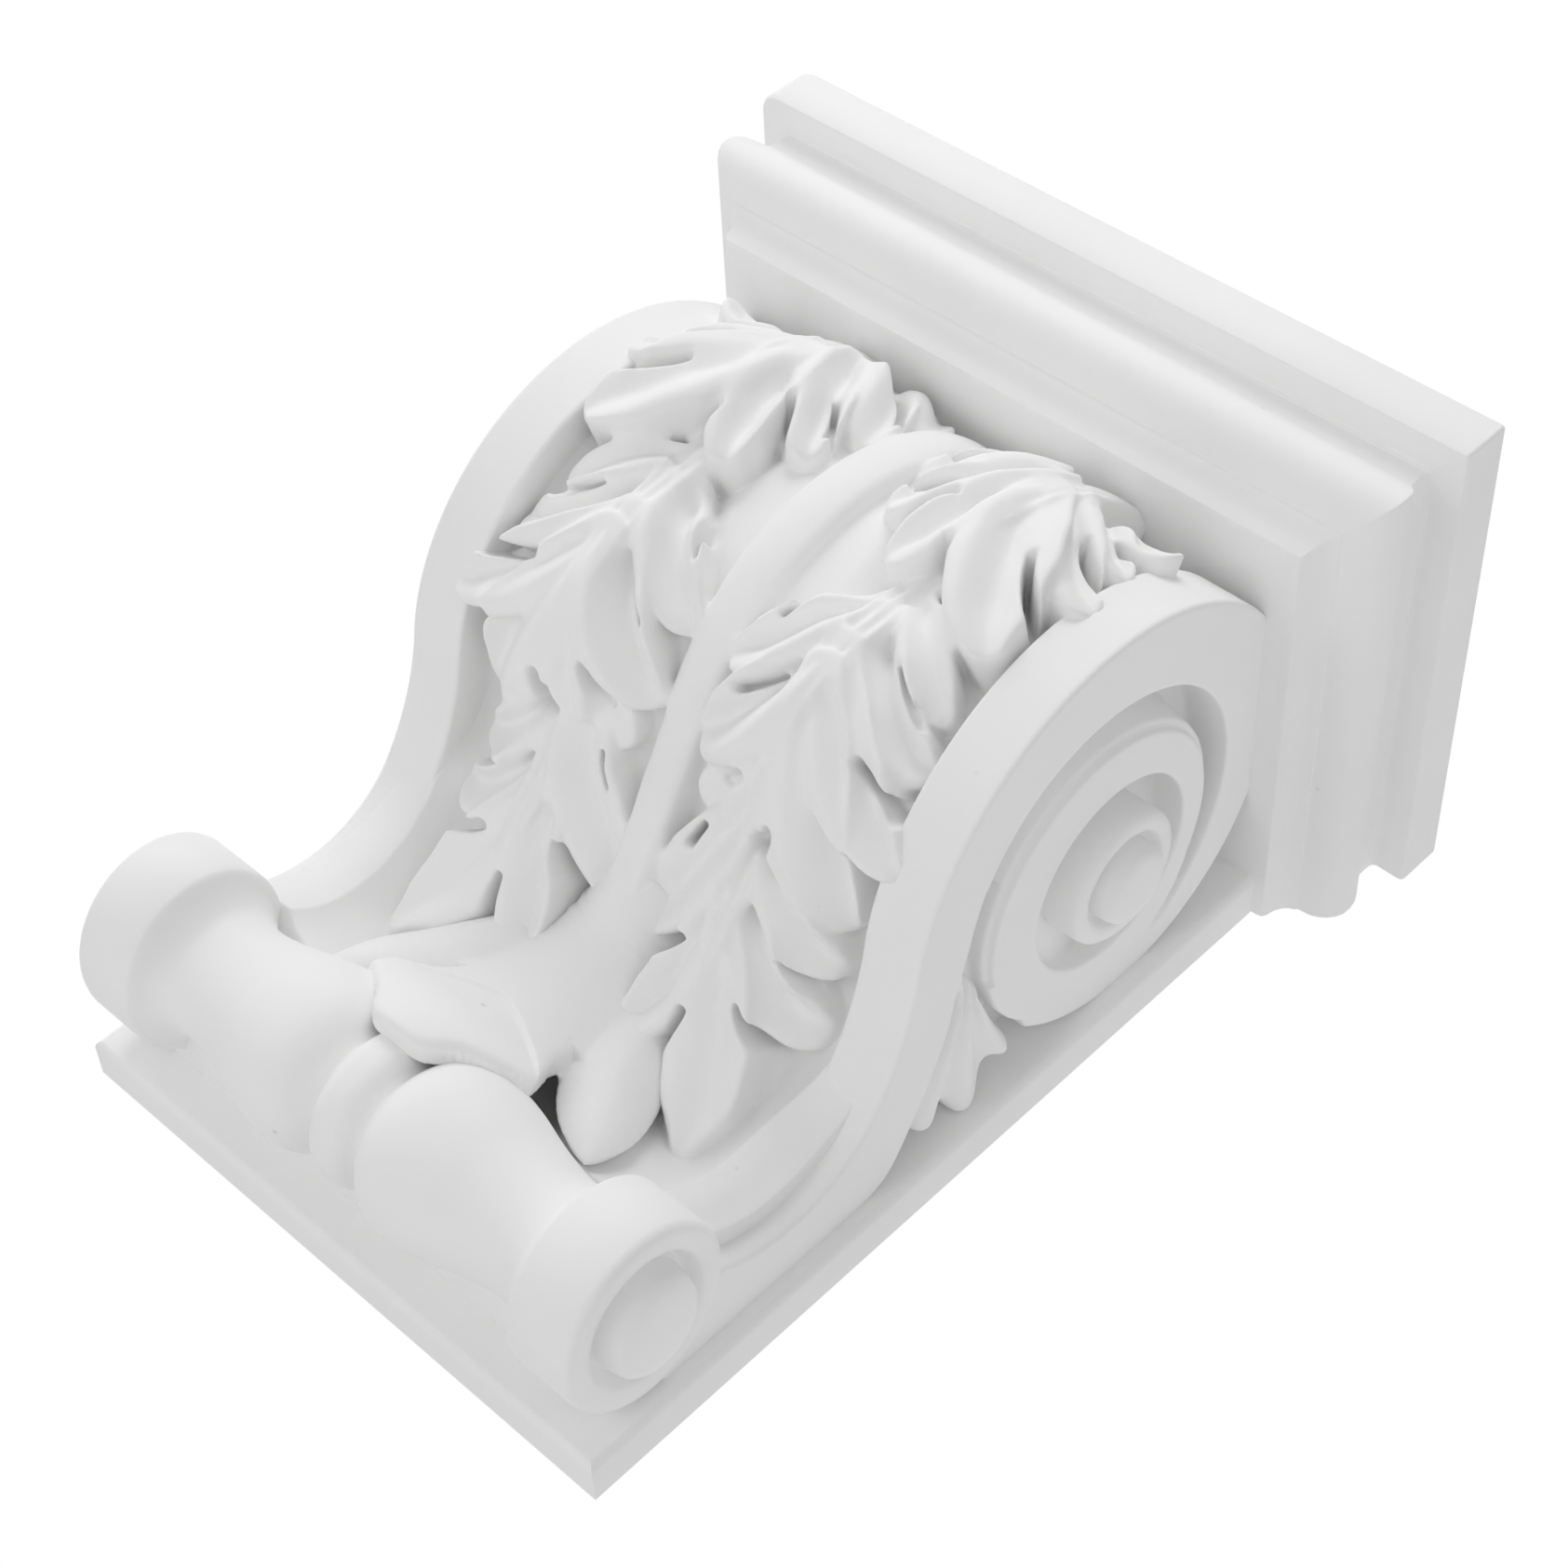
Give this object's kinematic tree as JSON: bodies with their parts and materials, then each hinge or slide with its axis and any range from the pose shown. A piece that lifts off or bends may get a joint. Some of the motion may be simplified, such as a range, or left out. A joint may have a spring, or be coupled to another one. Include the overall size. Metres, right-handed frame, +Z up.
{
  "type": "decorative corbel",
  "caption": "Moulded white wall corbel with a stepped crown, side scroll volutes, an acanthus front with a central rib, and a baluster roll with a palmette at its foot.",
  "frame": {"origin": "the middle of the flat back, where it lies against the wall", "axes": "+Z up, -Y out from the wall, X along the wall"},
  "size_m": [0.1874, 0.1199, 0.2372],
  "materials": {
    "moulding": "matte, white, smooth as cast"
  },
  "bodies": {
    "root": {"corbel": "moulding"}
  },
  "joints": []
}
